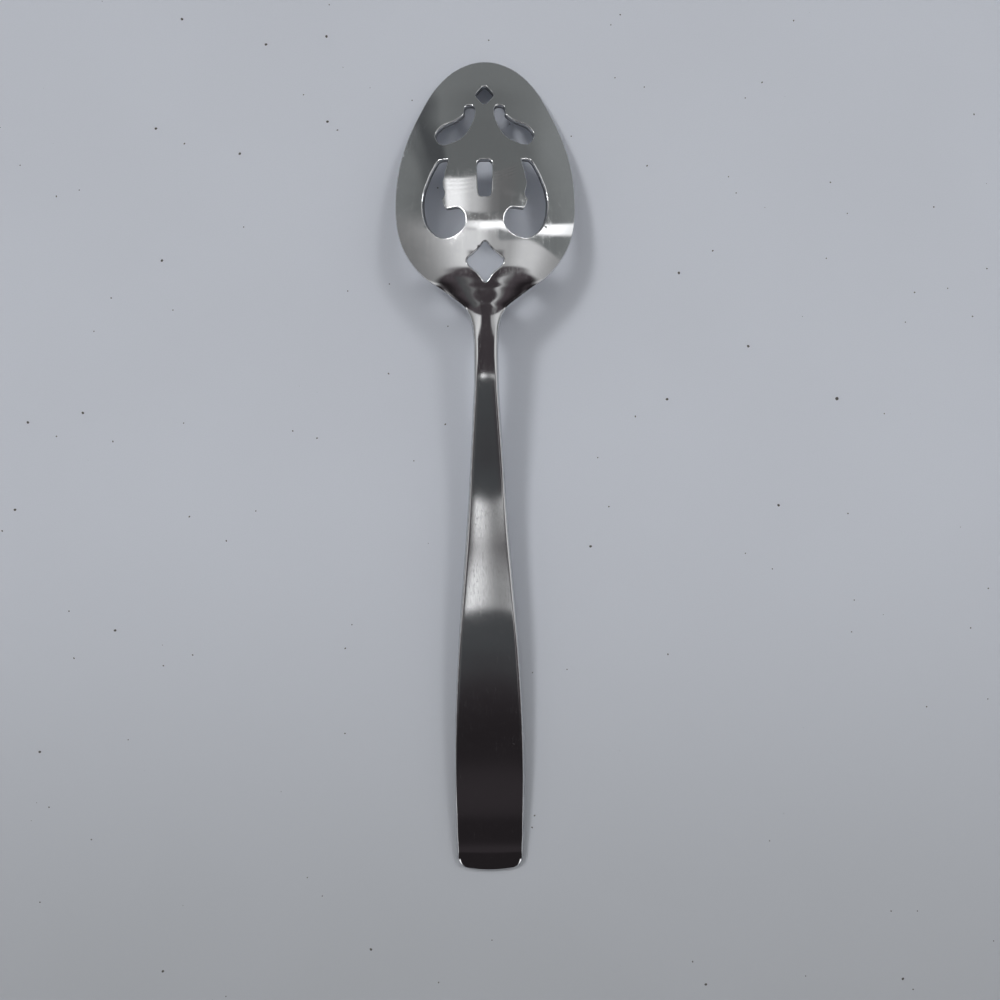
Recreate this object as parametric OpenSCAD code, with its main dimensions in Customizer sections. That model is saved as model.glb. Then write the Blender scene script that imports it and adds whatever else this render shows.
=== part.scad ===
// Pierced serving spoon, stamped and formed from one piece of stainless steel.
// It lies face down, with its hollow towards the table and its back up: the
// tip of the bowl points to +Y, the handle to -Y, and the table is at z = 0.

/* [Lengths] */
// From the tip of the bowl to the middle of the heel
bowl_l = 68; // [60:1:76]
// From the heel to the start of the handle
neck_l = 24; // [18:1:30]
// From the neck to the end of the handle
handle_l = 123; // [100:1:140]

/* [Bowl] */
// Greatest width of the bowl
bowl_w = 47; // [42:0.5:52]
// Rise of the back over the plane of the rim
bowl_depth = 8.4; // [6:0.2:10]
// Thickness of the sheet in the bowl
bowl_wall = 1.4; // [1:0.1:1.8]
// Width of the bowl where it meets the neck
heel_w = 10.6; // [8:0.2:12]

/* [Neck] */
// Width of the neck at its narrowest
neck_w = 6.2; // [5:0.1:8]
// Thickness of the neck
neck_t = 3.4; // [2.6:0.1:4]

/* [Handle] */
// Greatest width of the handle
handle_w = 18.4; // [14:0.2:22]
// Thickness of the handle at its middle
handle_t = 2.8; // [2.2:0.1:3.4]
// Radius of the two corners at the end
corner_r = 2.6; // [1.5:0.1:4]
// Width of the rounded bevel along both edges of the back
bevel_w = 1.1; // [0.6:0.1:2]
// Depth of that bevel
bevel_h = 0.4; // [0.2:0.05:0.8]
// Crown of the back from its middle to the bevel
crown_h = 0.25; // [0:0.05:0.6]
// Length of the end over which the back turns down
end_roll_l = 4.6; // [3:0.2:7]
// How far the back turns down there
end_roll_h = 0.9; // [0.4:0.1:1.2]
// How far the middle of the end bows out past its corners
end_bow = 0.9; // [0:0.1:1.6]
// Rounding of every edge
edge_r = 0.45; // [0.2:0.05:0.6]

/* [Lie on the table] */
// Height of the underside at the neck, the highest place of the arch
arch_h = 12.2; // [8:0.2:16]

/* [Piercings] */
// Half width of the small diamond near the tip
diamond_w = 2.4; // [1.6:0.1:3]
// Half length of the small diamond
diamond_l = 2.75; // [2:0.05:3.4]
// From the tip to the middle of the small diamond
diamond_at = 10.7; // [9:0.05:11.5]
// Length along the bowl of each wing
wing_l = 11.4; // [9:0.2:13]
// Reach of each wing to the side
wing_w = 10.4; // [8:0.2:12]
// From the tip to the start of the wings
wing_at = 13.65; // [12.5:0.05:14]
// Gap between a wing and the middle line
wing_gap = 2.5; // [2:0.1:4]
// Length of the straight slot in the middle
slot_l = 9.9; // [7:0.1:12]
// Width of the slot at its end nearer to the tip
slot_w = 4; // [3:0.1:5]
// Width of the slot at its other end
slot_heel_w = 3.2; // [2.4:0.1:5]
// From the tip to the middle of the slot
slot_at = 34.8; // [33:0.05:36]
// Length along the bowl of each scroll
scroll_l = 21; // [18:0.2:22]
// Reach of each scroll to the side
scroll_w = 11.2; // [9:0.2:12]
// From the tip to the start of the scrolls
scroll_at = 29.3; // [28:0.05:30]
// Gap between a scroll and the middle line
scroll_gap = 4.9; // [4:0.1:6]
// Half width of the star near the heel
star_w = 4.75; // [3.5:0.05:5.5]
// Half length of the star
star_l = 5.1; // [4:0.1:5.6]
// From the tip to the middle of the star
star_at = 56.5; // [55.5:0.05:57.5]

/* [Hidden] */

overall_l = bowl_l + neck_l + handle_l;
end_s = overall_l - end_bow;

// Overrun of the cutters past both faces of the sheet
over = 1.2;
// Start of the outline behind the very tip, where its width is still zero
nose = bowl_wall / 50;
tip_y = (overall_l + nose) / 2;
// A short step along the spoon or across it, for slopes
step = bowl_wall / 20;

// Rows of points along each length, and round the corners of the end
bowl_n = 46;
neck_n = 13;
handle_n = 32;
corner_n = 6;

// Places across half of the width, from the middle to the edge
half_shares = [0, 0.16, 0.32, 0.48, 0.62, 0.74, 0.84, 0.92, 1];
across_shares = concat([for (i = [8:-1:1]) -half_shares[i]], half_shares);

// Distances from the tip, named once
neck_s = bowl_l + 0.42 * neck_l;
handle_s = bowl_l + neck_l;
wide_s = handle_s + 0.79 * handle_l;
corner_s = end_s - corner_r;
end_half_w = handle_w / 2 * 0.935;

// Half width of the outline: [distance from the tip, half width]
bowl_outline_shares = [
    [0, 0], [0.05, 0.387], [0.13, 0.596], [0.22, 0.738], [0.32, 0.867],
    [0.43, 0.957], [0.52, 0.993], [0.60, 1], [0.68, 0.982], [0.745, 0.931],
    [0.808, 0.835], [0.87, 0.69], [0.93, 0.465]
];
outline = concat(
    [for (p = bowl_outline_shares) [p.x * bowl_l, p.y * bowl_w / 2]],
    [
        [bowl_l * 0.975, heel_w / 2 * 1.345],
        [bowl_l, heel_w / 2],
        [bowl_l + 0.09 * neck_l, heel_w / 2 * 0.79],
        [bowl_l + 0.2 * neck_l, neck_w / 2 * 1.14],
        [neck_s, neck_w / 2],
        [bowl_l + 0.78 * neck_l, neck_w / 2 * 1.025],
        [handle_s, neck_w / 2 + (handle_w - neck_w) / 2 * 0.055]
    ],
    [for (p = [[0.11, 0.19], [0.24, 0.36], [0.37, 0.57], [0.49, 0.76], [0.6, 0.895], [0.7, 0.975]])
        [handle_s + p.x * handle_l, neck_w / 2 + (handle_w - neck_w) / 2 * p.y]],
    [
        [wide_s, handle_w / 2],
        [handle_s + 0.9 * handle_l, handle_w / 2 * 0.975],
        [end_s, end_half_w]
    ]
);

// Height of the underside along the rim and the bar, as shares of the arch
lift_shares = [
    [0, 0], [0.25, 0.215], [0.5, 0.46], [0.75, 0.735], [0.9, 0.9], [1, 0.997]
];
neck_lift_shares = [[0.1, 0.985], [0.2, 0.972], [0.42, 0.949], [0.68, 0.9], [0.83, 0.857]];
handle_lift_shares = [
    [0, 0.803], [0.05, 0.72], [0.1, 0.641], [0.14, 0.582], [0.165, 0.55], [0.19, 0.527],
    [0.23, 0.5], [0.31, 0.455], [0.39, 0.418], [0.44, 0.398], [0.49, 0.371], [0.55, 0.325],
    [0.675, 0.225], [0.8, 0.124], [0.88, 0.066], [0.96, 0.007], [1, 0]
];
lift = concat(
    [for (p = lift_shares) [p.x * bowl_l, p.y * arch_h]],
    [for (p = neck_lift_shares) [bowl_l + p.x * neck_l, p.y * arch_h]],
    [for (p = handle_lift_shares) [handle_s + p.x * handle_l, p.y * arch_h]]
);

// How strongly the back is domed, as shares of its dome at the widest place
dome_shares = [
    [0, 0.95], [0.15, 1.08], [0.32, 1.07], [0.5, 1.02], [0.6, 1], [0.7, 1.02], [0.8, 1.12],
    [0.88, 1.39], [0.94, 1.83], [1, 2.43]
];
dome = concat(
    [for (p = dome_shares) [p.x * bowl_l, p.y * bowl_depth / (bowl_w * bowl_w / 4)]],
    [[end_s, 0]]
);

// Thickness along the middle
thick = [
    [0, bowl_wall], [0.86 * bowl_l, bowl_wall],
    [0.93 * bowl_l, 0.525 * bowl_wall + 0.475 * neck_t],
    [0.97 * bowl_l, 0.155 * bowl_wall + 0.845 * neck_t],
    [bowl_l, neck_t], [bowl_l + 0.6 * neck_l, neck_t],
    [handle_s + 0.3 * handle_l, handle_t], [handle_s + 0.75 * handle_l, handle_t],
    [end_s, handle_t * 0.85]
];

// How far a section is a solid bar (1) and not a bent sheet (0)
solid_from = 0.918 * bowl_l;
solid_to = bowl_l + 0.197 * neck_l;

// Curves

// Span of a list of points that holds x
function span(p, x, i = 0) = i < len(p) - 2 && x > p[i + 1].x ? span(p, x, i + 1) : i;

// Slope from the point i of a list to the next one
function rise(p, i) = (p[i + 1].y - p[i].y) / (p[i + 1].x - p[i].x);

// Slope of the curve at its point i: level at a peak, and between its
// neighbours' slopes elsewhere, so that the curve never overshoots
function grade(p, i) = i == 0 ? rise(p, 0)
    : i == len(p) - 1 ? rise(p, i - 1)
    : rise(p, i - 1) * rise(p, i) <= 0 ? 0
    : 2 * rise(p, i - 1) * rise(p, i) / (rise(p, i - 1) + rise(p, i));

// Smooth curve through the points, read at x
function smooth(p, x) = let (
    i = span(p, x),
    h = p[i + 1].x - p[i].x,
    t = (x - p[i].x) / h
) p[i].y * (1 + 2 * t) * (1 - t) * (1 - t)
    + p[i + 1].y * t * t * (3 - 2 * t)
    + grade(p, i) * h * t * (1 - t) * (1 - t)
    - grade(p, i + 1) * h * t * t * (1 - t);

// Even step from 0 to 1 between two values
function ease(t) = t <= 0 ? 0 : t >= 1 ? 1 : t * t * (3 - 2 * t);

// Form of the spoon, at a distance s from the tip

// The outline is smoothed on its squares, so the tip comes out round
square_outline = [for (p = outline) [p.x, p.y * p.y]];
function free_half_w(s) = sqrt(max(smooth(square_outline, s), 0));
// Inset of the two round corners at the end
function corner_cut(s) = s <= corner_s ? 0
    : corner_r - sqrt(max(corner_r * corner_r - (s - corner_s) * (s - corner_s), 0));
function half_w(s) = max(free_half_w(s) - corner_cut(s), nose);
function wall(s) = smooth(thick, s);

// How far a section is a solid bar (1) and not a bent sheet (0)
function solid(s) = ease((s - solid_from) / (solid_to - solid_from));

// Height of the sheet's leaning edge, as a share of its wall
lean_share = 0.886;

// Height of the back at x across
function dome_z(x, s) = (half_w(s) * half_w(s) - x * x)
    * (smooth(dome, s) * (1 - solid(s)) + crown_h / (half_w(s) * half_w(s)) * solid(s));
function bevel(x, s) = solid(s) * bevel_h * pow(max(1 + (abs(x) - half_w(s)) / bevel_w, 0), 2);
function roll(s) = end_roll_h * pow(max(s - end_s + end_roll_l, 0) / end_roll_l, 2);
function back_z(x, s) = smooth(lift, s) + wall(s) * (lean_share + (1 - lean_share) * solid(s))
    + dome_z(x, s) - bevel(x, s) - roll(s);

// A point of the back, and the way out of the sheet there
function bow(x, s) = end_bow * ease((s - end_s + end_roll_l) / end_roll_l)
    * (1 - x * x / (end_half_w * end_half_w));
function back(x, s) = [x, tip_y - s - bow(x, s), back_z(x, s)];
function out(x, s) = let (
    a = back(x + step, s) - back(x - step, s),
    b = back(x, max(s - step, nose)) - back(x, min(s + step, end_s)),
    n = cross(a, b)
) n / norm(n);

// A point of the face: through the sheet in the bowl, straight down in a bar
function face(x, s) = let (
    p = back(x, s),
    q = p - wall(s) * out(x, s)
) q * (1 - solid(s)) + [x, p.y, smooth(lift, s)] * solid(s);

// Solids

// Closed solid between two grids of points, [row][column], with columns of
// side points down its right edge and up its left edge
module lofted(top, right, bottom, left) {
    rows = len(top);
    cols = len(top[0]);
    edge = len(right[0]);
    ring = 2 * (cols + edge);
    points = [for (i = [0:rows - 1]) each concat(
        top[i],
        right[i],
        [for (j = [cols - 1:-1:0]) bottom[i][j]],
        left[i]
    )];
    // Faces run clockwise as seen from outside
    sides = [for (i = [0:rows - 2]) for (j = [0:ring - 1]) let (
        a = i * ring + j,
        b = i * ring + (j + 1) % ring
    ) each [[a, b, b + ring], [a, b + ring, a + ring]]];
    low = ring - edge - 1;
    cap = concat(
        [for (j = [0:cols - 2]) each [[j, j + 1, low - j - 1], [j, low - j - 1, low - j]]],
        [for (q = [0:edge - 1]) [cols - 1, cols + q, cols + q + 1]],
        [for (q = [0:edge - 1]) [0, low + q, low + q + 1]]
    );
    first = [for (f = cap) [f[0], f[2], f[1]]];
    last = [for (f = cap) f + (rows - 1) * ring * [1, 1, 1]];
    polyhedron(points, concat(sides, first, last), convexity = 6);
}

// Places through the thickness of an edge, and how far each stands out
edge_shares = [[0.16, 0.72], [0.5, 1], [0.84, 0.72]];

// The spoon between stations, which are distances from the tip
module stretch(stations) {
    // The edge of a sheet leans in, and that of a bar stands upright
    grid = [for (s = stations) let (
        w = max(half_w(s) - edge_r * (0.3 + 0.7 * solid(s)), nose)
    ) [for (u = across_shares) [u * w, s]]];
    top = [for (row = grid) [for (p = row) back(p.x, p.y)]];
    bottom = [for (row = grid) [for (p = row) face(p.x, p.y)]];
    n = len(stations) - 1;
    last = len(across_shares) - 1;
    function side(i, j, k, p) = let (
        n = out(grid[i][j].x, grid[i][j].y) * (1 - solid(stations[i])) + [0, 0, solid(stations[i])]
    ) top[i][j] + (bottom[i][j] - top[i][j]) * p.x
        + k * [n.z, 0, -n.x] * p.y * min(edge_r, half_w(stations[i]));
    lofted(
        top,
        [for (i = [0:n]) [for (p = edge_shares) side(i, last, 1, p)]],
        bottom,
        [for (i = [0:n]) [for (j = [len(edge_shares) - 1:-1:0]) side(i, 0, -1, edge_shares[j])]]
    );
}

// Piercings, square to the sheet

// A cutter between pairs of points [x, s], one pair to a row
module pierce(pairs) {
    rows = len(pairs);
    points = [for (p = pairs) each [
        back(p[0].x, p[0].y) + over * out(p[0].x, p[0].y),
        back(p[1].x, p[1].y) + over * out(p[1].x, p[1].y),
        back(p[1].x, p[1].y) - (bowl_wall + over) * out(p[1].x, p[1].y),
        back(p[0].x, p[0].y) - (bowl_wall + over) * out(p[0].x, p[0].y)
    ]];
    sides = [for (i = [0:rows - 2]) for (j = [0:3]) let (
        a = i * 4 + j,
        b = i * 4 + (j + 1) % 4
    ) each [[a, b, b + 4], [a, b + 4, a + 4]]];
    e = (rows - 1) * 4;
    polyhedron(
        points,
        concat(sides, [[0, 2, 1], [0, 3, 2], [e, e + 1, e + 2], [e, e + 2, e + 3]]),
        convexity = 4
    );
}

// Rows for a piercing on the middle line, from [half width, place] shares
function middle_rows(shares, w, l, at) = [for (p = shares)
    [[-p.x * w, at + p.y * l], [p.x * w, at + p.y * l]]];

diamond_shares = [
    [0.14, -1], [0.3, -0.87], [0.88, -0.22], [0.98, 0], [0.88, 0.22], [0.3, 0.87], [0.14, 1]
];
star_shares = [
    [0.06, -0.985], [0.16, -0.88], [0.29, -0.706], [0.485, -0.52], [0.795, -0.294],
    [0.968, -0.173], [1, 0], [0.954, 0.13], [0.728, 0.327], [0.478, 0.514], [0.29, 0.706],
    [0.18, 0.85], [0.05, 0.985]
];
slot_shares = [
    [0.55, -1], [0.88, -0.9], [1, -0.72], [1, 0.84], [0.86, 0.96], [0.6, 1]
];

// The two edges of a wing, from its top round end to its tail
wing_tip_shares = [
    [0.19, 0.005], [0.262, 0.05], [0.278, 0.18], [0.346, 0.28], [0.557, 0.402], [0.81, 0.475],
    [0.912, 0.55], [0.98, 0.635], [1, 0.721], [0.997, 0.75], [0.988, 0.79]
];
wing_heel_shares = [
    [0.08, 0.012], [0.01, 0.06], [0, 0.214], [0.025, 0.36], [0.105, 0.57], [0.25, 0.8],
    [0.385, 0.912], [0.62, 0.99], [0.8, 1], [0.9, 0.955], [0.955, 0.87]
];

// The two edges of a scroll, from its top end round the bulb to its hook
scroll_out_shares = [
    [0.601, 0.006], [0.668, 0.039], [0.741, 0.106], [0.811, 0.175], [0.881, 0.266],
    [0.944, 0.352], [0.981, 0.442], [0.998, 0.53], [0.991, 0.629], [0.93, 0.78],
    [0.819, 0.887], [0.65, 0.972], [0.456, 1], [0.316, 0.988], [0.168, 0.947],
    [0.064, 0.893], [0.011, 0.836], [0.004, 0.776]
];
scroll_in_shares = [
    [0.411, 0.002], [0.431, 0.069], [0.456, 0.108], [0.481, 0.168], [0.499, 0.23],
    [0.529, 0.314], [0.506, 0.382], [0.481, 0.43], [0.543, 0.513], [0.503, 0.589],
    [0.459, 0.634], [0.388, 0.637], [0.3, 0.632], [0.215, 0.631], [0.161, 0.634],
    [0.087, 0.664], [0.04, 0.695], [0.015, 0.74]
];

function edge_point(p, k, gap, w, at, l) = [k * (gap + p.x * w), at + p.y * l];
module side_piercing(k, a_shares, b_shares, gap, w, at, l) {
    pairs = [for (i = [0:len(a_shares) - 1]) let (
        a = edge_point(a_shares[i], k, gap, w, at, l),
        b = edge_point(b_shares[i], k, gap, w, at, l)
    ) k > 0 ? [b, a] : [a, b]];
    pierce(pairs);
}

module slot() {
    rows = [for (p = slot_shares) let (
        w = (slot_w + (slot_heel_w - slot_w) * (p.y + 1) / 2) / 2
    ) [[-p.x * w, slot_at + p.y * slot_l / 2], [p.x * w, slot_at + p.y * slot_l / 2]]];
    pierce(rows);
}

// The three parts of the spoon

module bowl() {
    color([0.66, 0.67, 0.68]) difference() {
        stretch([for (i = [0:bowl_n]) nose + (bowl_l - nose) * pow(i / bowl_n, 1.6)]);
        pierce(middle_rows(diamond_shares, diamond_w, diamond_l, diamond_at));
        slot();
        pierce(middle_rows(star_shares, star_w, star_l, star_at));
        for (k = [-1, 1]) {
            side_piercing(k, wing_tip_shares, wing_heel_shares, wing_gap, wing_w, wing_at, wing_l);
            side_piercing(
                k, scroll_out_shares, scroll_in_shares, scroll_gap, scroll_w, scroll_at, scroll_l
            );
        }
    }
}

module neck() {
    color([0.6, 0.61, 0.62]) stretch([for (i = [0:neck_n]) bowl_l + neck_l * i / neck_n]);
}

module handle() {
    color([0.62, 0.63, 0.64]) stretch(concat(
        [for (i = [0:handle_n]) handle_s + (corner_s - handle_s) * i / handle_n],
        [for (i = [1:corner_n]) corner_s + corner_r * sin(90 * i / corner_n)]
    ));
}

bowl();
neck();
handle();
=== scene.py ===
# %% [markdown]
# # A pierced serving spoon
# The real spoon is one piece of stainless steel. A flat blank is cut out, the
# slots are punched through its bowl, and a press gives it its form. It is
# polished last. This lesson makes it in the same order: blank, slots, press,
# polish. The construction model is loaded first. It is the fixed frame, so
# nothing here is moved or scaled to fit.

# %% Load the frame
import math

import bpy
import numpy as np
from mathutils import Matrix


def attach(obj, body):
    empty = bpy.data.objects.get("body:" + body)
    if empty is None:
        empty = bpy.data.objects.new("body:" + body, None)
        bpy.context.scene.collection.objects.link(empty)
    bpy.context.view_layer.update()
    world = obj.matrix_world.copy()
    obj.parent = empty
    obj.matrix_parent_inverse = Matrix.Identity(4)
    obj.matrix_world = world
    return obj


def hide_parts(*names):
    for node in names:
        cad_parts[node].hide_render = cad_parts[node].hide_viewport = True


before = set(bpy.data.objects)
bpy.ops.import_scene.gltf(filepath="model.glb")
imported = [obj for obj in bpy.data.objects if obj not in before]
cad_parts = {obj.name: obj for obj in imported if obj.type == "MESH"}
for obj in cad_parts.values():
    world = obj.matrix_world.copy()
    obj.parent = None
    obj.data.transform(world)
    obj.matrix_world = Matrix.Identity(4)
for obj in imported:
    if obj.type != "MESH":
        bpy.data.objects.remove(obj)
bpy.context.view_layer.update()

# %% [markdown]
# ## The camera
# The spoon lies on its face, and the camera hangs straight over it. Its height
# and lens are what make the drawn outline fall on the seen one all round.

# %% Camera
MM = 0.001
CAMERA_AT = (3.28, -9.1, 300)
CAMERA_TURN = -0.42
LENS = 40.44

eye = bpy.data.cameras.new("camera")
eye.lens = LENS
camera = bpy.data.objects.new("camera", eye)
camera.location = [c * MM for c in CAMERA_AT]
camera.rotation_euler = (0, 0, math.radians(CAMERA_TURN))
bpy.context.scene.collection.objects.link(camera)
bpy.context.scene.camera = camera
print("camera at", [round(c, 4) for c in camera.location])

# %% [markdown]
# ## The sizes
# All sizes are in millimetres. They are the ones of the construction model, and
# one more says how far the sides of the heel fall below its middle. A place
# along the spoon is its distance from the tip of the bowl.

# %% Sizes
BOWL_LONG, NECK_LONG, HANDLE_LONG = 68, 24, 123
BOWL_WIDE, BOWL_DEEP, BOWL_WALL, HEEL_WIDE = 47, 8.4, 1.4, 10.6
NECK_WIDE, NECK_THICK = 6.2, 3.4
HANDLE_WIDE, HANDLE_THICK, CORNER_ROUND = 18.4, 2.8, 2.6
BEVEL_WIDE, BEVEL_DEEP, CROWN = 1.1, 0.4, 0.25
ROLL_LONG, ROLL_DEEP, END_BOW = 4.6, 0.9, 0.9
HEEL_FALL = 0.9
ARCH_HIGH = 12.2
# Height of the sheet's leaning edge, as a share of its wall
LEAN_SHARE = 0.886

LONG = BOWL_LONG + NECK_LONG + HANDLE_LONG
NOSE = BOWL_WALL / 50
TIP_Y = (LONG + NOSE) / 2
END = LONG - END_BOW
HANDLE_AT = BOWL_LONG + NECK_LONG
NECK_AT = BOWL_LONG + 0.42 * NECK_LONG
END_HALF = HANDLE_WIDE / 2 * 0.935
print("the spoon is", LONG, "mm long and", BOWL_WIDE, "mm wide")

# %% [markdown]
# ## Smooth curves
# A polished back shows every kink in its form, because the reflections break
# there. So each curve runs through its points without overshooting, and is
# then averaged over a few millimetres, as a polishing wheel does. The reach of
# that average is wide in the middle of the bowl and short near its two ends,
# where the outline turns fast.

# %% A curve through points
def curve(points):
    """A function that runs through [place, value] points and never overshoots."""
    at, value = np.array(points, float).T
    slope = np.diff(value) / np.diff(at)
    before, after = slope[:-1], slope[1:]
    same_way = before * after > 0
    middle = np.where(same_way, 2 * before * after / np.where(same_way, before + after, 1), 0)
    grade = np.concatenate([slope[:1], middle, slope[-1:]])

    def value_at(place):
        place = np.asarray(place, float)
        i = np.clip(np.searchsorted(at, place) - 1, 0, len(at) - 2)
        span = at[i + 1] - at[i]
        t = np.clip((place - at[i]) / span, 0, 1)
        rest = (np.minimum(place - at[0], 0) * grade[0]
                + np.maximum(place - at[-1], 0) * grade[-1])
        return (value[i] * (1 + 2 * t) * (1 - t) ** 2 + value[i + 1] * t * t * (3 - 2 * t)
                + grade[i] * span * t * (1 - t) ** 2 - grade[i + 1] * span * t * t * (1 - t)
                + rest)

    return value_at


def ease(t):
    """An even step from 0 to 1."""
    t = np.clip(t, 0, 1)
    return t * t * (3 - 2 * t)


hill = curve([(0, 0), (10, 4), (20, 0)])
print("a hill that is 4 high at 10 is", float(hill(5).round(2)), "high at 5")

# %% The same curve, polished
WIDE_FROM, WIDE_TO, BLEND = 6, 44, 16


def polished(points, reach, wide_reach):
    """The curve averaged over a reach, which is the wide one inside the bowl."""
    rough = curve(points)
    steps = np.linspace(-1, 1, 25)
    weights = np.cos(steps * math.pi / 2) ** 2
    weights /= weights.sum()

    def value_at(place):
        place = np.asarray(place, float)
        inner = ease((place - WIDE_FROM) / BLEND) * (1 - ease((place - WIDE_TO) / BLEND))
        around = reach + (wide_reach - reach) * inner
        return sum(w * rough(place + step * around) for w, step in zip(weights, steps))

    return value_at


straight = polished([(0, 0), (100, 50)], 1, 7)
print("a straight line stays", float(straight(30).round(3)), "at 30")

# %% [markdown]
# ## The form
# Six curves along the spoon give its form: how wide it is, how high its middle
# runs, how strongly its back is domed, how thick it is, where the bent sheet of
# the bowl becomes the solid bar of the neck and handle, and how far the sides of
# the heel fall. The first four are lists of shares of the sizes above.

# %% How wide it is
WIDTH_SHARES = [
    (0, 0), (0.05, 0.387), (0.13, 0.596), (0.22, 0.738), (0.32, 0.867), (0.43, 0.957),
    (0.52, 0.993), (0.60, 1), (0.68, 0.982), (0.745, 0.931), (0.808, 0.835), (0.87, 0.69),
    (0.93, 0.465)]
HANDLE_WIDTH_SHARES = [
    (0, 0.055), (0.11, 0.19), (0.24, 0.36), (0.37, 0.57), (0.49, 0.76), (0.6, 0.895),
    (0.7, 0.975), (0.79, 1)]
outline = [
    *[(a * BOWL_LONG, b * BOWL_WIDE / 2) for a, b in WIDTH_SHARES],
    (0.975 * BOWL_LONG, HEEL_WIDE / 2 * 1.345),
    (BOWL_LONG, HEEL_WIDE / 2),
    (BOWL_LONG + 0.09 * NECK_LONG, HEEL_WIDE / 2 * 0.79),
    (BOWL_LONG + 0.2 * NECK_LONG, NECK_WIDE / 2 * 1.14),
    (NECK_AT, NECK_WIDE / 2),
    (BOWL_LONG + 0.78 * NECK_LONG, NECK_WIDE / 2 * 1.025),
    *[(HANDLE_AT + a * HANDLE_LONG, NECK_WIDE / 2 + b * (HANDLE_WIDE - NECK_WIDE) / 2)
      for a, b in HANDLE_WIDTH_SHARES],
    (HANDLE_AT + 0.9 * HANDLE_LONG, HANDLE_WIDE / 2 * 0.975),
    (END, END_HALF)]
square_of_half = polished([(a, b * b) for a, b in outline], 1.2, 7)


def half_width(s):
    """Half the width at a place, with the two round corners of the end cut off."""
    corner = np.clip(s - END + CORNER_ROUND, 0, CORNER_ROUND)
    inset = CORNER_ROUND - np.sqrt(CORNER_ROUND ** 2 - corner ** 2)
    return np.maximum(np.sqrt(np.maximum(square_of_half(s), 0)) - inset, NOSE)


print("half width at the heel", round(float(half_width(BOWL_LONG)), 2), "mm")

# %% How high it runs
LIFT_SHARES = [(0, 0), (0.25, 0.215), (0.5, 0.46), (0.75, 0.735), (0.9, 0.9), (1, 1.002)]
NECK_LIFT_SHARES = [(0.1, 0.989), (0.2, 0.974), (0.42, 0.949), (0.68, 0.9), (0.83, 0.857)]
HANDLE_LIFT_SHARES = [
    (0, 0.803), (0.05, 0.72), (0.1, 0.641), (0.14, 0.582), (0.155, 0.5625), (0.19, 0.5285),
    (0.23, 0.5), (0.31, 0.455), (0.39, 0.418), (0.44, 0.398), (0.49, 0.371), (0.55, 0.325),
    (0.675, 0.225), (0.8, 0.124), (0.88, 0.066), (0.96, 0.007), (1, 0)]
rises = [
    *[(a * BOWL_LONG, b * ARCH_HIGH) for a, b in LIFT_SHARES],
    *[(BOWL_LONG + a * NECK_LONG, b * ARCH_HIGH) for a, b in NECK_LIFT_SHARES],
    *[(HANDLE_AT + a * HANDLE_LONG, b * ARCH_HIGH) for a, b in HANDLE_LIFT_SHARES]]
lift = polished(rises, 2.4, 12)
print("underside at the heel", round(float(lift(BOWL_LONG)), 2), "mm up")

# %% Dome and thickness
DOME_SHARES = [
    (0, 0.95), (0.15, 1.08), (0.32, 1.07), (0.5, 1.02), (0.6, 1), (0.7, 1.02), (0.8, 1.12),
    (0.88, 1.39), (0.94, 1.83), (1, 2.43)]
domes = [
    *[(a * BOWL_LONG, b * BOWL_DEEP / (BOWL_WIDE / 2) ** 2) for a, b in DOME_SHARES],
    (END, 0)]
thicks = [
    (0, BOWL_WALL), (0.86 * BOWL_LONG, BOWL_WALL),
    (0.93 * BOWL_LONG, 0.525 * BOWL_WALL + 0.475 * NECK_THICK),
    (0.97 * BOWL_LONG, 0.155 * BOWL_WALL + 0.845 * NECK_THICK),
    (BOWL_LONG, NECK_THICK), (BOWL_LONG + 0.6 * NECK_LONG, NECK_THICK),
    (HANDLE_AT + 0.3 * HANDLE_LONG, HANDLE_THICK),
    (HANDLE_AT + 0.75 * HANDLE_LONG, HANDLE_THICK), (END, 0.85 * HANDLE_THICK)]

doming = polished(domes, 2, 8)
thickness = polished(thicks, 2, 2)
print("thickness at the heel", round(float(thickness(BOWL_LONG)), 2), "mm")

# %% From sheet to bar, and the falling sides of the heel
BAR_FROM, BAR_TO = 0.918 * BOWL_LONG, BOWL_LONG + 0.197 * NECK_LONG
FALL_FROM, FALL_TO, FALL_IN, FALL_OUT = 61, 77, 7, 9


def bar(s):
    """How far a section is a solid bar, 1, and not a bent sheet, 0."""
    return ease((s - BAR_FROM) / (BAR_TO - BAR_FROM))


def edge_fall(s):
    """How far the two edges of the heel fall below its middle."""
    return HEEL_FALL * ease((s - FALL_FROM) / FALL_IN) * ease((FALL_TO - s) / FALL_OUT)


print("the heel is a bar by", round(float(bar(BOWL_LONG)), 2))

# %% The two faces of the pressed spoon
def back_height(x, s):
    """How high the upper face lies, at x across and s along."""
    w, solid = half_width(s), bar(s)
    square = np.where(s < BOWL_LONG, square_of_half(s), w * w)
    dome = (square - x * x) * (doming(s) * (1 - solid) + CROWN / (w * w) * solid)
    bevel = solid * BEVEL_DEEP * np.maximum(1 + (np.abs(x) - w) / BEVEL_WIDE, 0) ** 2
    roll = ROLL_DEEP * (np.maximum(s - END + ROLL_LONG, 0) / ROLL_LONG) ** 2
    fall = edge_fall(s) * (x / w) ** 2
    rise = thickness(s) * (LEAN_SHARE + (1 - LEAN_SHARE) * solid)
    return lift(s) + rise + dome - bevel - roll - fall


def back_face(x, s):
    """Points of the face that lies upwards, with the bowed end drawn out."""
    bow = END_BOW * ease((s - END + ROLL_LONG) / ROLL_LONG) * (1 - (x / END_HALF) ** 2)
    return np.stack([x, TIP_Y - s - bow, back_height(x, s)], -1)


def square_out(face, x, s, reach=0.05):
    """Directions that stand square on a face."""
    along = face(x, s + reach) - face(x, s - reach)
    across = face(x + reach, s) - face(x - reach, s)
    out = np.cross(along, across)
    return out / np.linalg.norm(out, axis=-1, keepdims=True)


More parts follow.
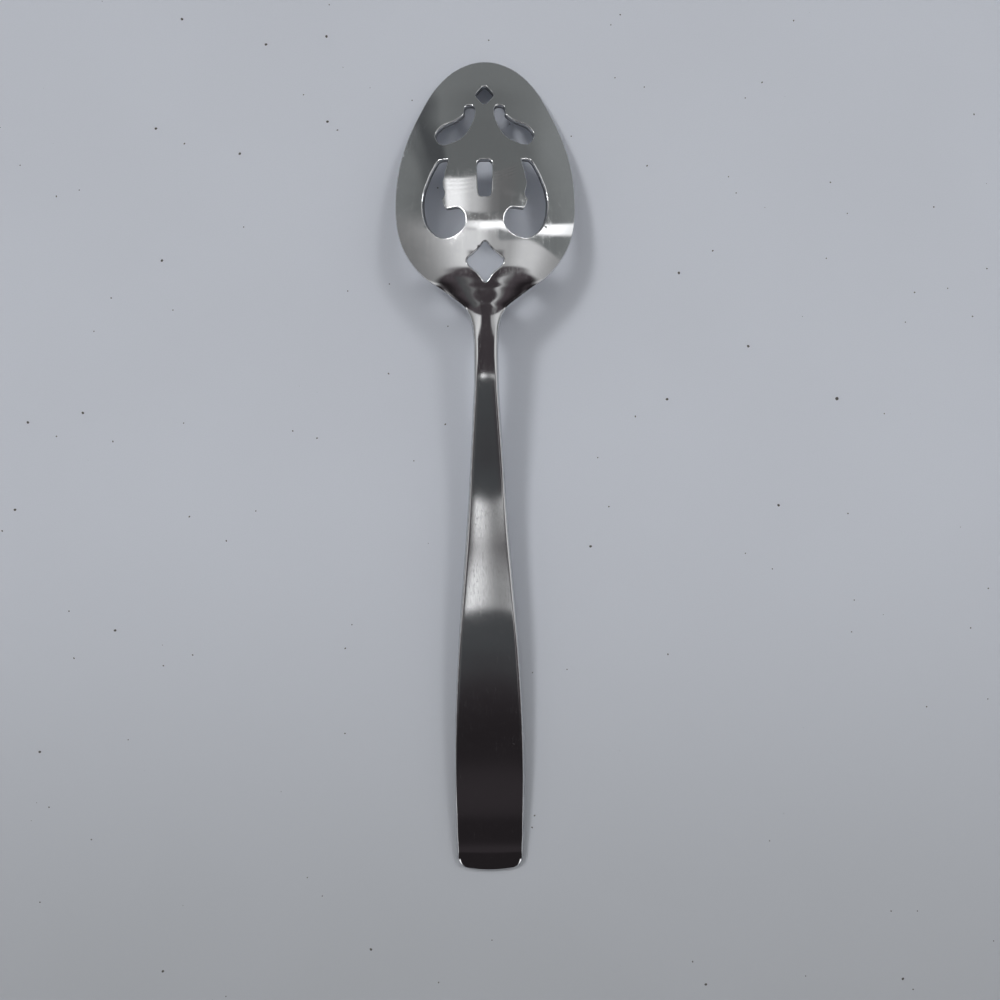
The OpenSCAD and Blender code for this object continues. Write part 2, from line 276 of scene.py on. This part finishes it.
def front_face(x, s):
    """The other face, one wall below the back, and flat under the bar."""
    back, solid = back_face(x, s), bar(s)[..., None]
    sheet = back - thickness(s)[..., None] * square_out(back_face, x, s)
    flat = np.stack([back[..., 0], back[..., 1], lift(s)], -1)
    return sheet * (1 - solid) + flat * solid


middle = np.array([0.0, 30.0, 60.0, 90.0, 150.0, 210.0])
print("height of the back along the middle", back_height(middle * 0, middle).round(2))

# %% [markdown]
# ## The blank
# A ring of points is placed along the outline, filled, and extruded to the
# thickness of the sheet. A bevel then rounds the rim all the way round. It is
# far easier to round an edge while the sheet is flat.

# %% Blank
SHEET = BOWL_WALL * MM
OUTLINE_STEP = 0.6
FINE_STEPS = 6000
RIM_ROUND = 0.45
SHARP = math.radians(60)


def alone(obj):
    """Selects one object only, and makes it the active one."""
    bpy.ops.object.select_all(action="DESELECT")
    obj.select_set(True)
    bpy.context.view_layer.objects.active = obj


def flat_piece(name, points, low, high):
    """A flat plate with its outline along [x, place] points in millimetres."""
    bpy.ops.object.select_all(action="DESELECT")
    bpy.ops.mesh.primitive_circle_add(
        vertices=len(points), radius=BOWL_WIDE / 2 * MM, fill_type="NGON")
    piece = bpy.context.object
    piece.name = name
    for corner, (x, s) in zip(piece.data.vertices, points):
        corner.co = (x * MM, (TIP_Y - s) * MM, low)
    bpy.ops.object.mode_set(mode="EDIT")
    bpy.ops.mesh.select_all(action="SELECT")
    bpy.ops.mesh.extrude_region_move(TRANSFORM_OT_translate={"value": (0, 0, high - low)})
    bpy.ops.mesh.select_all(action="SELECT")
    bpy.ops.mesh.normals_make_consistent(inside=False)
    bpy.ops.object.mode_set(mode="OBJECT")
    return piece


def round_edges(radius, segments):
    """Bevels every sharp edge of the active piece."""
    bpy.context.tool_settings.mesh_select_mode = (False, True, False)
    bpy.ops.object.mode_set(mode="EDIT")
    bpy.ops.mesh.select_all(action="DESELECT")
    bpy.ops.mesh.edges_select_sharp(sharpness=SHARP)
    bpy.ops.mesh.bevel(
        offset=radius * MM, segments=segments, affect="EDGES", clamp_overlap=False)
    bpy.ops.object.mode_set(mode="OBJECT")


def evenly(points, step):
    """Points at even steps along a line."""
    points = np.array(points, float)
    along = np.concatenate([[0], np.cumsum(np.linalg.norm(np.diff(points, axis=0), axis=1))])
    places = np.linspace(0, along[-1], max(2, round(along[-1] / step)) + 1)
    return np.stack([np.interp(places, along, points[:, k]) for k in (0, 1)], -1)


print("the sheet is", BOWL_WALL, "mm thick")

# %% Right side of the blank
# The fine steps lie closest at the tip, where the outline turns fastest
places = NOSE + (END - NOSE) * np.linspace(0, 1, FINE_STEPS) ** 2
side = np.stack([half_width(places), places], -1)
side[0, 0] = 0
right = evenly(side, OUTLINE_STEP)

# The rim of the bowl leans in when it is pressed, so the blank is cut a little
# wider. The lean is read from half a millimetre inside both ends
inside = np.clip(right[:, 1], 0.5, END - 0.5)
upright = square_out(back_face, right[:, 0], inside)[:, 2]
lean = np.sqrt(1 - upright ** 2)
wider = RIM_ROUND * (1 - upright + (1 - lean) * lean) * (1 - bar(right[:, 1]))
ahead = np.gradient(right, axis=0)
ahead[0] = (1, 0)
out = np.stack([ahead[:, 1], -ahead[:, 0]], -1) / np.linalg.norm(ahead, axis=1)[:, None]
right += out * wider[:, None]
print("the blank is", round(2 * right[:, 0].max(), 2), "mm wide")

# %% The whole blank
across_end = evenly([right[-1], right[-1] * (-1, 1)], OUTLINE_STEP)[1:-1]
rim = np.concatenate([right, across_end, right[:0:-1] * (-1, 1)])

spoon = flat_piece("spoon", rim, 0, SHEET)
round_edges(RIM_ROUND, 4)
print("blank has", len(rim), "points round it")

# %% [markdown]
# ## The slots
# Seven slots are punched: a diamond, a long slot and a star on the middle line,
# and a wing and a scroll on each side. Each is drawn as strokes that meet in
# corners. A stroke is a smooth curve through a few points, so only the corners
# are sharp. Few are: the edges of a worn punch are round nearly everywhere.

# %% Punches
def stroke(points, step=0.4):
    """A smooth line through its points."""
    points = np.array(points, float)
    gaps = np.linalg.norm(np.diff(points, axis=0), axis=1) ** 0.5
    slopes = np.diff(points, axis=0) / gaps[:, None]
    share = (gaps[1:] / (gaps[1:] + gaps[:-1]))[:, None]
    grade = np.zeros_like(points)
    grade[1:-1] = slopes[:-1] * share + slopes[1:] * (1 - share)
    grade[0] = 1.5 * slopes[0] - 0.5 * grade[1]
    grade[-1] = 1.5 * slopes[-1] - 0.5 * grade[-2]
    t = np.linspace(0, 1, 24)[:, None]
    line = [a * (1 + 2 * t) * (1 - t) ** 2 + b * t * t * (3 - 2 * t)
            + from_a * gap * t * (1 - t) ** 2 - to_b * gap * t * t * (1 - t)
            for a, b, from_a, to_b, gap in zip(points, points[1:], grade, grade[1:], gaps)]
    return evenly(np.concatenate(line), step)


def placed(shares, wide, at, long, gap=0.0, side=1):
    """Shares of a slot's size as points, right of the middle line or left of it."""
    return [(side * (gap + a * wide), at + b * long) for a, b in shares]


def punch(name, *strokes):
    """A punch whose outline is the ring of these strokes."""
    ring = np.concatenate([line[:-1] for line in strokes])
    return flat_piece(name, ring, -SHEET, 2 * SHEET)


def both_sides(half):
    """A closed stroke from its right half, drawn from the tip side to the heel side."""
    half = [(0, half[0][1])] + half + [(0, half[-1][1])]
    return half[:-1] + [(-x, s) for x, s in half[:0:-1]] + half[:1]


def smooth_ring(points, step=0.3):
    """A closed stroke with no corner, also not where it starts."""
    around = stroke(points[-4:-1] + points + points[1:4], step)
    start = np.argmin(np.linalg.norm(around[:len(around) // 2] - points[0], axis=1))
    middle = len(around) // 2
    stop = middle + np.argmin(np.linalg.norm(around[middle:] - points[0], axis=1))
    return around[start:stop + 1]


print("a line of 10 mm has", len(stroke([(0, 0), (10, 0)])), "points")

# %% Slots on the middle line
# Half width, place of the middle, and half length
DIAMOND_SIZE, STAR_SIZE, LONG_SIZE = (2.4, 10.7, 2.75), (4.75, 56.5, 5.1), (2, 34.8, 4.95)
DIAMOND = [(0.1, -1), (0.3, -0.87), (0.6, -0.54), (0.88, -0.22), (0.975, 0), (0.88, 0.22),
           (0.6, 0.54), (0.3, 0.87), (0.1, 1)]
STAR = [(0.04, -0.985), (0.16, -0.88), (0.29, -0.706), (0.485, -0.52), (0.795, -0.294),
        (0.955, -0.173), (1, -0.03), (0.93, 0.14), (0.728, 0.327), (0.478, 0.514),
        (0.29, 0.706), (0.175, 0.86), (0.05, 0.985)]
LONG_SLOT = [(0.55, -1), (0.86, -0.91), (1, -0.72), (0.95, 0), (0.8, 0.84), (0.7, 0.95),
             (0.45, 1)]
punches = [
    punch(name, smooth_ring(both_sides(placed(half, *size))))
    for name, half, size in (("diamond", DIAMOND, DIAMOND_SIZE), ("star", STAR, STAR_SIZE),
                             ("long_slot", LONG_SLOT, LONG_SIZE))]
print("punches on the middle line", len(punches))

# %% Wings and scrolls
# Width, place of the start, length, and gap to the middle line
WING_SIZE, SCROLL_SIZE = (10.4, 13.75, 11.2, 2.5), (11.2, 29.3, 21, 4.9)
WING = [
    (0.28, 0.23), (0.346, 0.294), (0.44, 0.364), (0.557, 0.422), (0.69, 0.459), (0.81, 0.5),
    (0.9, 0.566), (0.968, 0.643), (1, 0.74), (0.97, 0.829), (0.925, 0.917), (0.845, 0.985),
    (0.73, 1), (0.62, 0.979), (0.51, 0.943), (0.395, 0.897), (0.295, 0.829), (0.21, 0.731),
    (0.135, 0.614), (0.075, 0.483), (0.025, 0.35), (0, 0.214), (0.005, 0.09), (0.05, 0.02),
    (0.14, 0), (0.232, 0.019), (0.272, 0.08), (0.278, 0.182), (0.28, 0.23)]
SCROLL_OUT = [
    (0.406, 0.002), (0.511, 0), (0.601, 0.006), (0.668, 0.039), (0.741, 0.106),
    (0.811, 0.175), (0.881, 0.266), (0.944, 0.352), (0.981, 0.442), (0.998, 0.53),
    (0.991, 0.629), (0.961, 0.729), (0.899, 0.82), (0.819, 0.887), (0.703, 0.952),
    (0.591, 0.988), (0.456, 1), (0.316, 0.988), (0.168, 0.947), (0.064, 0.893),
    (0.011, 0.836), (0.004, 0.776), (0.026, 0.718), (0.087, 0.664), (0.161, 0.634),
    (0.266, 0.63), (0.388, 0.637), (0.459, 0.634)]
SCROLL_HOOK = [(0.459, 0.634), (0.503, 0.589), (0.543, 0.513)]
SCROLL_IN = [
    (0.543, 0.513), (0.49, 0.47), (0.481, 0.43), (0.506, 0.382), (0.526, 0.33),
    (0.529, 0.28), (0.499, 0.23), (0.481, 0.168), (0.456, 0.108), (0.431, 0.069),
    (0.406, 0.002)]

for side, hand in ((-1, "left"), (1, "right")):
    punches.append(punch("wing_" + hand, stroke(placed(WING, *WING_SIZE, side))))
    punches.append(punch("scroll_" + hand, *[
        stroke(placed(part, *SCROLL_SIZE, side))
        for part in (SCROLL_OUT, SCROLL_HOOK, SCROLL_IN)]))
print("punches", [p.name for p in punches])

# %% Punch them through
SLOT_ROUND = 0.26

bpy.ops.object.select_all(action="DESELECT")
for p in punches:
    p.select_set(True)
bpy.context.view_layer.objects.active = punches[0]
bpy.ops.object.join()
punching = bpy.context.object
alone(spoon)
slots = spoon.modifiers.new("slots", "BOOLEAN")
slots.operation, slots.solver, slots.object = "DIFFERENCE", "EXACT", punching
bpy.ops.object.modifier_apply(modifier=slots.name)
bpy.data.objects.remove(punching)
round_edges(SLOT_ROUND, 3)
print("punched blank has", len(spoon.data.polygons), "faces")

# %% [markdown]
# ## Rows and columns
# A flat face can only bend where it has edges, so planes cut the blank into
# small cells. They are closer together across the handle, whose bevels are
# narrow, and closer along the heel and the rolled end, which bend the most.

# %% Cut into cells
HEEL_FROM, HEEL_TO, ROLL_ROWS = 57, 75, 5.6
CLOSE_ROW, WIDE_ROW = 0.4, 1.2


def slice_at(places, direction):
    """Cuts what is selected with one plane for each place."""
    for place in places:
        bpy.ops.mesh.bisect(
            plane_co=[place * MM * d for d in direction], plane_no=direction, threshold=1e-7)
        bpy.ops.mesh.select_all(action="SELECT")


bpy.context.tool_settings.mesh_select_mode = (False, False, True)
bpy.ops.object.mode_set(mode="EDIT")
bpy.ops.mesh.select_all(action="SELECT")
rows = np.concatenate([
    np.arange(1, HEEL_FROM), np.arange(HEEL_FROM, HEEL_TO, CLOSE_ROW),
    np.arange(HEEL_TO + 1, END - ROLL_ROWS - CLOSE_ROW, WIDE_ROW),
    np.arange(END - ROLL_ROWS, END, CLOSE_ROW)])
slice_at(TIP_Y - rows, (0, 1, 0))
slice_at(np.arange(-(BOWL_WIDE // 2), BOWL_WIDE / 2), (1, 0, 0))
bpy.ops.object.mode_set(mode="OBJECT")
print("rows", len(rows), "faces", len(spoon.data.polygons))

# %% Finer columns for the handle
# The bowl is hidden, all but its last 6 mm, while the narrow handle is cut between
# its whole millimetres too
for face in spoon.data.polygons:
    face.select = face.center.y > (TIP_Y - BOWL_LONG + 6) * MM
bpy.ops.object.mode_set(mode="EDIT")
bpy.ops.mesh.hide()
bpy.ops.mesh.select_all(action="SELECT")
slice_at(np.setdiff1d(np.arange(-45, 46) / 5, np.arange(-10, 11)), (1, 0, 0))
bpy.ops.mesh.reveal()
bpy.ops.mesh.select_all(action="SELECT")
bpy.ops.mesh.remove_doubles(threshold=0.01 * MM)
bpy.ops.object.mode_set(mode="OBJECT")
print("sliced blank has", len(spoon.data.polygons), "faces")

# %% [markdown]
# ## The press
# No menu entry presses a sheet into a die that is given by a formula, so this
# step moves the points in code. Each point keeps its place on the sheet and its
# share of the thickness, and lands between the two faces of the form. The
# slots' walls stay square to the sheet, as the punch left them. The exact
# direction of each face is stored too, so the polish is free of facets.

# %% Press
# A point this near a face, as a share of the wall, lies on it
ON_FACE = 0.0001
count = len(spoon.data.vertices)
flat = np.empty(count * 3)
spoon.data.vertices.foreach_get("co", flat)
flat = flat.reshape(-1, 3) / MM
x, s = flat[:, 0], np.minimum(TIP_Y - flat[:, 1], END)
depth = np.clip(flat[:, 2] / BOWL_WALL, 0, 1)[:, None]
pressed = front_face(x, s) * (1 - depth) + back_face(x, s) * depth
spoon.data.vertices.foreach_set("co", (pressed * MM).ravel())
spoon.data.update()

inside = np.minimum(s, END - 0.1)
facing = np.zeros((count, 3))
upper, lower = depth[:, 0] > 1 - ON_FACE, depth[:, 0] < ON_FACE
facing[upper] = square_out(back_face, x[upper], inside[upper])
facing[lower] = -square_out(front_face, x[lower], inside[lower])
alone(spoon)
bpy.ops.object.shade_smooth()
spoon.data.normals_split_custom_set_from_vertices(facing.tolist())
print("pressed spoon", pressed.min(0).round(2), pressed.max(0).round(2))

# %% Mark the punched walls for painted shade
# They carry painted shade and are dull up to this share of the thickness, and then fade
SHADE_TO, FADE = 0.84, 0.1

shaded_cut_wall = spoon.data.attributes.new("shaded_cut_wall", "FLOAT", "POINT")
marks = ease((SHADE_TO - depth[:, 0]) / FADE) * (depth[:, 0] > ON_FACE)
shaded_cut_wall.data.foreach_set("value", marks)
print("points on the punched walls", int((marks > 0).sum()))

# %% Where the spoon belongs
# It is one rigid piece, and stands for all three lengths of the construction model
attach(spoon, "root")
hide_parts("bowl", "neck", "handle")
print("pieces of the scene", [spoon.name])

# %% [markdown]
# ## Shader values
# Steel, paper and room are worked out from a few numbers and patterns. A small
# class wraps one output of a shader node, so that plain sums on it build the
# nodes.

# %% Arithmetic on shader values
class Value:
    """An output of a shader node."""

    def __init__(self, socket):
        self.socket, self.tree = socket, socket.id_data

    def node(self, kind, settings, inputs, output=0):
        """Any node, from its type, its settings, and then its values and links."""
        made = self.tree.nodes.new("ShaderNode" + kind)
        for name, value in settings.items():
            setattr(made, name, value)
        for key, value in inputs.items():
            if isinstance(value, Value):
                self.tree.links.new(value.socket, made.inputs[key])
            else:
                made.inputs[key].default_value = value
        return Value(made.outputs[output])

    def math(self, operation, first, second=0.0):
        """One sum, on values or plain numbers."""
        return self.node("Math", {"operation": operation}, {0: first, 1: second})

    def __add__(self, other):
        return self.math("ADD", self, other)

    def __sub__(self, other):
        return self.math("SUBTRACT", self, other)

    def __rsub__(self, other):
        return self.math("SUBTRACT", other, self)

    def __mul__(self, other):
        return self.math("MULTIPLY", self, other)

    def __truediv__(self, other):
        return self.math("DIVIDE", self, other)

    def __pow__(self, power):
        return self.math("POWER", self, power)

    __radd__, __rmul__ = __add__, __mul__

    def size(self):
        """How large it is, with no sign."""
        return self.math("ABSOLUTE", self)

    def positive(self):
        """The same value, or 0 where it is below 0."""
        return self.math("MAXIMUM", self, 0.0)

    def ramp(self, low, high, first=0.0, last=1.0):
        """A soft step: the first value below low, the last one above high."""
        return self.node("MapRange", {"interpolation_type": "SMOOTHSTEP"}, {
            "Value": self, "From Min": low, "From Max": high, "To Min": first, "To Max": last})

    def between(self, low, high, soft):
        """1 between low and high, with soft borders."""
        return self.ramp(low - soft, low + soft) * self.ramp(high - soft, high + soft, 1, 0)

    def plain(self, colour):
        """One colour everywhere."""
        made = self.node("RGB", {}, {})
        made.socket.default_value = colour
        return made

    def tint(self, mask, colour):
        """This colour, with another one laid over it where the mask is 1."""
        return self.node("Mix", {"data_type": "RGBA"}, {0: mask, 6: self, 7: colour}, 2)

    def noise(self, stretch, turn=0.0, detail=2.0, roughness=0.5):
        """Soft random spots, so many to the millimetre along each axis."""
        laid = self.node("Mapping", {}, {
            "Vector": self, "Rotation": (0, 0, turn), "Scale": [k / MM for k in stretch]})
        return self.node("TexNoise", {}, {
            "Vector": laid, "Scale": 1.0, "Detail": detail, "Roughness": roughness})


def source(tree, kind, output):
    """An output of a node that takes nothing in."""
    return Value(tree.nodes.new("ShaderNode" + kind).outputs[output])


def grey(level, warmth=0.0):
    """A grey of one brightness, a little warmer or cooler."""
    return (level * (1 + warmth), level, level * (1 - warmth), 1)


print("a cool grey is", grey(0.1, -0.05))

# %% [markdown]
# ## The room
# Polished steel shows the room more than itself, so the room is most of the
# look. It is drawn straight onto the sky, with each place named by how far it
# lies to the right, x, and towards the tip of the bowl, y. A grey wall stands
# behind the tip, with a pane of blinds and a long bright window in it, and a
# pale ceiling comes over the spoon. Two small windows shine where the scrolls
# are, so the steel doesn't show them, but they light the floor. Lamps would give
# round spots that no room has, and a picture of a room would be a file that this
# lesson can't have.

# %% Walls
world = bpy.data.worlds.new("room")
bpy.context.scene.world = world
world.use_nodes = True
room_tree = world.node_tree
look = source(room_tree, "TexCoord", "Generated")
x, y, up = (look.node("SeparateXYZ", {}, {0: look}, k) for k in range(3))
aside = (x ** 2 + y ** 2) ** 0.5


def patch(across, along):
    """1 in a soft rectangle of the room, by [from, to, softness] in x and in y."""
    return x.between(*across) * y.between(*along)


wall = aside.ramp(0.9, 1, 0.19, 0.245) + x.ramp(0.5, 0.68, 0, 0.05)
room = look.node("CombineColor", {}, {0: wall * 0.965, 1: wall * 1.01, 2: wall * 1.01})
curtain = patch((-0.66, -0.5, 0.035), (0.66, 0.82, 0.06))
room = room.tint(curtain * 0.95, grey(0.09, -0.05))
fold = patch((-0.72, -0.56, 0.035), (0.56, 0.74, 0.05))
room = room.tint(fold * 0.6, grey(0.1, -0.05))
print("walls drawn with", len(room_tree.nodes), "nodes")

# %% Ceiling
right = x.ramp(0.05, 0.26)
ceiling = (x.ramp(-1, -0.34, 0.25, 0.95) + x.ramp(-0.1, 0.14, 0, -0.43)
           + x.ramp(0.38, 0.62, 0, 0.3) + x.ramp(0.72, 0.95, 0, -0.42))
ceiling_edge = 0.46 + right * (-0.225 - 2.4 * (x - 0.56).positive() ** 2)
shade = x.between(0.12, 0.62, 0.08) * y.ramp(0.3, 0.42, 1, 0)
room = room.tint(shade, grey(0.31, -0.02))
softness = x.ramp(-0.62, -0.4, 3.5, 1)
room = room.tint(((ceiling_edge - y + right * 0.02) / softness).ramp(-0.012, 0.04), ceiling)
print("walls and ceiling drawn with", len(room_tree.nodes), "nodes")

# %% Blinds
TILT, FIRST_SLAT, SLAT = 0.079, 0.6641, 0.0145
tilted = y - TILT * x
slats = look.math("COSINE", (tilted - FIRST_SLAT) * (2 * math.pi / SLAT)) * 0.26
pane_light = (x.ramp(-0.4, -0.18, 1.32, 0.74) + x.ramp(-0.2, 0.12, 0, -0.45)
              + x.ramp(0, 0.25, 0, -0.1)) * (1 + slats * tilted.ramp(0.605, 0.632))
pane = (x.ramp(-0.56, -0.5) * x.ramp(0.3, 0.5, 1, 0) * y.ramp(0.512, 0.53)
        * tilted.ramp(0.668, 0.673, 1, 0))
room = room.tint(pane, pane_light)
sill = patch((-0.34, 0.3, 0.06), (0.468, 0.512, 0.01))
room = room.tint(sill, grey(0.235))
print("blinds drawn with", len(room_tree.nodes), "nodes")

# %% Long window and the two small ones
slide = (x - 0.22).positive()
strip = ((y + 0.15 * slide).ramp(0.453, 0.477, 1, 0) * (y + 0.2 * slide).ramp(0.365, 0.42)
         * x.ramp(-0.5, -0.36) * x.ramp(0.82, 0.95, 1, 0.5))
glare = x.ramp(-0.3, -0.02, 1.1, 1.8) + x.ramp(0.55, 0.7, 0, 0.3)
room = room.tint(strip, glare)
dull_end = patch((-0.34, -0.14, 0.05), (0.375, 0.41, 0.015))
room = room.tint(dull_end * 0.8, grey(0.68))
left_light = patch((-0.58, -0.44, 0.015), (0.34, 0.47, 0.015))
room = room.tint(left_light, grey(30))
right_light = patch((0.42, 0.58, 0.015), (0.36, 0.47, 0.015))
room = room.tint(right_light, grey(16))
print("windows drawn with", len(room_tree.nodes), "nodes")

# %% [markdown]
# The steel also shows what hangs over it: dark cloth round the camera, paler
# folds on both sides of it, and a lamp behind it. Low down beside the handle are
# soft windows. They light the edges and give the floor its soft shadows.

# %% Cloth round the camera
reach = (x.size() / 0.87) ** 3 + ((y + 0.6).positive() / 0.56) ** 3
cloth = reach.ramp(0.93, 1.07, 1, 0)
camera_side = x.size().ramp(0.24, 0.36, 1, 0) * y.ramp(0.08, 0.13, 1, 0) * y.ramp(-0.3, -0.2)
cloth = look.math("MAXIMUM", cloth, camera_side)
dark = (y.ramp(-0.36, -0.22, 0.02, 0.078) - camera_side * 0.024
        + y.between(-0.44, -0.39, 0.02) * 0.018)
dark = look.node("CombineColor", {}, {0: dark * 1.1, 1: dark * 0.93, 2: dark * 1.02})
room = room.tint(cloth, dark)
print("cloth drawn with", len(room_tree.nodes), "nodes")

# %% Folds beside it
high_fold = patch((0.34, 0.56, 0.05), (-0.2, -0.1, 0.03))
room = room.tint(high_fold * 0.8, grey(0.26))
beside = y.between(-0.3, -0.17, 0.025)
room = room.tint(x.between(-0.6, 0.16, 0.06) * beside, grey(0.08, -0.05))
room = room.tint(x.between(-0.55, -0.25, 0.08) * beside * 0.6, grey(0.15))
right_fold = patch((0.28, 0.42, 0.05), (-0.3, -0.16, 0.02))
room = room.tint(right_fold, grey(0.27))
print("folds drawn with", len(room_tree.nodes), "nodes")

# %% Lamp and low windows
lamp_light = (x.ramp(-0.17, -0.125, 0.25, 1.45) + x.ramp(-0.12, 0.06, 0, -1.0)
              + x.ramp(0.08, 0.17, 0, 0.2))
lamp = y.between(-0.176, -0.143, 0.009) * x.size().ramp(0.3, 0.55, 1, 0)
room = room.tint(lamp, lamp_light)

behind = y.ramp(-0.72, -0.64, 1, 0) * x.size().ramp(0.4, 0.5)
room = room.tint(behind, grey(1.6))
low_window = x.size().ramp(0.8, 0.88) * y.between(-0.43, -0.36, 0.015)
room = room.tint(low_window, x.ramp(-0.1, 0.1, 1.1, 0.8))
room = room.tint(up.ramp(-0.02, 0.02, 1, 0), grey(0.7))
print("room drawn with", len(room_tree.nodes), "nodes")

# %% Hang the room up
# The camera sees plain grey past the floor, while the steel mirrors the room
seen = source(room_tree, "LightPath", "Is Camera Ray")
room = room.tint(seen, grey(0.75))
room_tree.links.new(room.socket, room_tree.nodes["Background"].inputs["Color"])
bpy.context.scene.view_settings.view_transform = "Standard"
print("room has", len(room_tree.nodes), "nodes")

# %% [markdown]
# ## The steel
# The bowl is polished nearly to a mirror. The handle is a little duller, and its
# fine brush lines run along it. Both carry the marks of use: faint milky smudges
# where the bowl was wiped, and hair scratches that cross each other. All of this
# is far smaller than the mesh, so it goes into roughness, colour and a bump. The
# punched walls, marked on the mesh before, are dull and carry painted shade.

# %% Patterns of the steel
def new_material(name):
    """A material and its main shader."""
    made = bpy.data.materials.new(name)
    made.use_nodes = True
    return made, made.node_tree.nodes["Principled BSDF"]


steel, steel_shader = new_material("brushed_steel")
steel_shader.inputs["Metallic"].default_value = 1.0
place = source(steel.node_tree, "TexCoord", "Object")
along = place.node("SeparateXYZ", {}, {0: place}, 1)
on_bowl = along.ramp(36 * MM, 42 * MM)
wiped = along.ramp(44 * MM, 54 * MM) * along.ramp(66 * MM, 76 * MM, 1, 0)

smudge = place.noise((0.22, 0.3, 0.22), 0.5, 2, 0.6).ramp(0.46, 0.66)
smear = place.noise((0.9, 0.12, 0.5), 0.9, 1).ramp(0.5, 0.7)
milky = (smudge * 0.6 + smear * 0.4) * (0.35 + 0.65 * wiped) * on_bowl
brushed = place.noise((14, 0.35, 14), 0, 2, 0.65)
fine = brushed.ramp(0.3, 0.7)
# This mark carries the painted shade of the punched walls, and their dullness
punched = place.node("Attribute", {"attribute_name": "shaded_cut_wall"}, {}, 2)
print("steel patterns", len(steel.node_tree.nodes), "nodes")

# %% Scratches
def scratches(turn, width, keep):
    """Hair lines in one direction, broken into short lengths."""
    line = place.noise((1.9, 0.045, 1.9), turn, 1)
    thin = (line - 0.5).size().ramp(width, width * 2.6, 1, 0)
    return thin * place.noise((0.16, 0.16, 0.16), turn, 1).ramp(keep, keep + 0.05)


hairs = (scratches(0.35, 0.0022, 0.5) + scratches(-0.6, 0.0018, 0.54)
         + scratches(1.45, 0.0016, 0.56))
print("with scratches", len(steel.node_tree.nodes), "nodes")

# %% Colour, roughness and bump
BARE, MILKY, BRUSHED = (0.62, 0.626, 0.638, 1), (0.71, 0.715, 0.72, 1), (0.55, 0.553, 0.56, 1)
# The second colour here is painted shade for the punched walls, not a colour of the steel
SCRATCHED, PAINTED_WALL_SHADE = (0.8, 0.8, 0.8, 1), (0.13, 0.134, 0.14, 1)
colour = place.plain(BARE).tint(milky * 0.4, MILKY).tint(fine * 0.1, BRUSHED)
colour = colour.tint(hairs * 0.35, SCRATCHED).tint(punched * 0.9, PAINTED_WALL_SHADE)
roughness = 0.06 + 0.035 * fine - on_bowl * (0.02 + 0.025 * fine) + milky * 0.1 + hairs * 0.1
roughness = roughness + punched * 0.3
height = fine * (0.35 - 0.3 * on_bowl) - hairs * 0.8
bump = place.node("Bump", {}, {"Strength": 0.06, "Distance": 0.02 * MM, "Height": height})
for name, made in (("Base Color", colour), ("Roughness", roughness), ("Normal", bump)):
    steel.node_tree.links.new(made.socket, steel_shader.inputs[name])
spoon.data.materials.clear()
spoon.data.materials.append(steel)
print("steel has", len(steel.node_tree.nodes), "nodes")

# %% [markdown]
# ## The floor
# The spoon lies on a sheet of pale blue-grey paper. Painted shade darkens it a
# little towards the handle, and dust lies on it here and there. The colours
# written here are lighter than the paper looks, because the room doesn't light
# it fully.

# %% Floor
bpy.ops.object.select_all(action="DESELECT")
bpy.ops.mesh.primitive_plane_add(size=4, location=(0, 0, 0))
floor = bpy.context.object
floor.name = "floor"
print("floor laid")

# %% Paper
# The second colour is painted shade, laid over the paper towards the handle
PAPER, PAINTED_PAPER_SHADE, MOTTLED = (0.745, 0.78, 0.855, 1), (0.49, 0.51, 0.54, 1), (0.63, 0.65, 0.71, 1)
FIBRE, DUST = (0.52, 0.54, 0.59, 1), (0.09, 0.085, 0.08, 1)

paper, paper_shader = new_material("paper")
paper_shader.inputs["Roughness"].default_value = 0.9
spot = source(paper.node_tree, "TexCoord", "Object")
spot_y = spot.node("SeparateXYZ", {}, {0: spot}, 1)
pale = spot.plain(PAPER)
# Painted shade: the paper grows darker towards the handle end
paper_shade = spot_y.ramp(-170 * MM, 10 * MM, 1, 0)
mottle = spot.noise((0.02, 0.02, 0.02), 0, 1).ramp(0.3, 0.7)
fibre = spot.noise((3, 3, 3), 0, 1).ramp(0.3, 0.7)
tone = pale.tint(paper_shade, PAINTED_PAPER_SHADE).tint(mottle * 0.1, MOTTLED)
tone = tone.tint(fibre * 0.06, FIBRE)
dust = spot.noise((0.6, 0.6, 0.6), 0.3, 0).ramp(0.87, 0.88)
tone = tone.tint(dust, DUST)
paper.node_tree.links.new(tone.socket, paper_shader.inputs["Base Color"])
floor.data.materials.append(paper)
print("paper has", len(paper.node_tree.nodes), "nodes")
